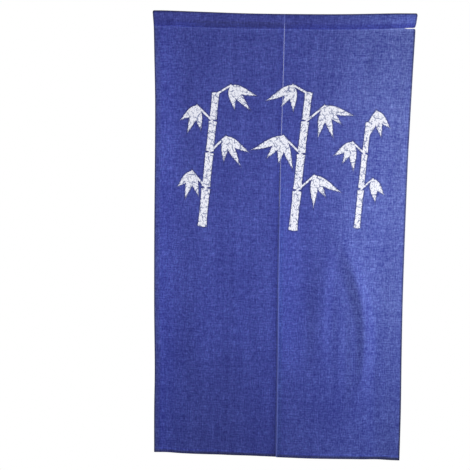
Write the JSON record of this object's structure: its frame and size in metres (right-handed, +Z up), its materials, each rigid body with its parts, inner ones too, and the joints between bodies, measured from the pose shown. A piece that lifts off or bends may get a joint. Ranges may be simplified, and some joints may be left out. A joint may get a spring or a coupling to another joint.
{
  "type": "noren curtain",
  "caption": "Slit doorway curtain of indigo slub cloth, with a rod-pocket heading, hemmed edges and a white bamboo design, hung from a thin rod through its heading.",
  "frame": {"origin": "the rod's axis at mid-span, inside the rod pocket, 7.8 mm below the top edge there", "axes": "+Z up, along the drop of the cloth; +X along the rod; the front with the design faces -Y"},
  "size_m": [0.8497, 0.0229, 1.4999],
  "materials": {
    "panel_cloth": "matt slub weave, indigo, with a white dry-brushed bamboo design",
    "heading_cloth": "matt slub weave, plain indigo"
  },
  "bodies": {
    "root": {"heading_left": "heading_cloth", "heading_right": "heading_cloth", "panel_left": "panel_cloth", "panel_right": "panel_cloth"}
  },
  "joints": []
}
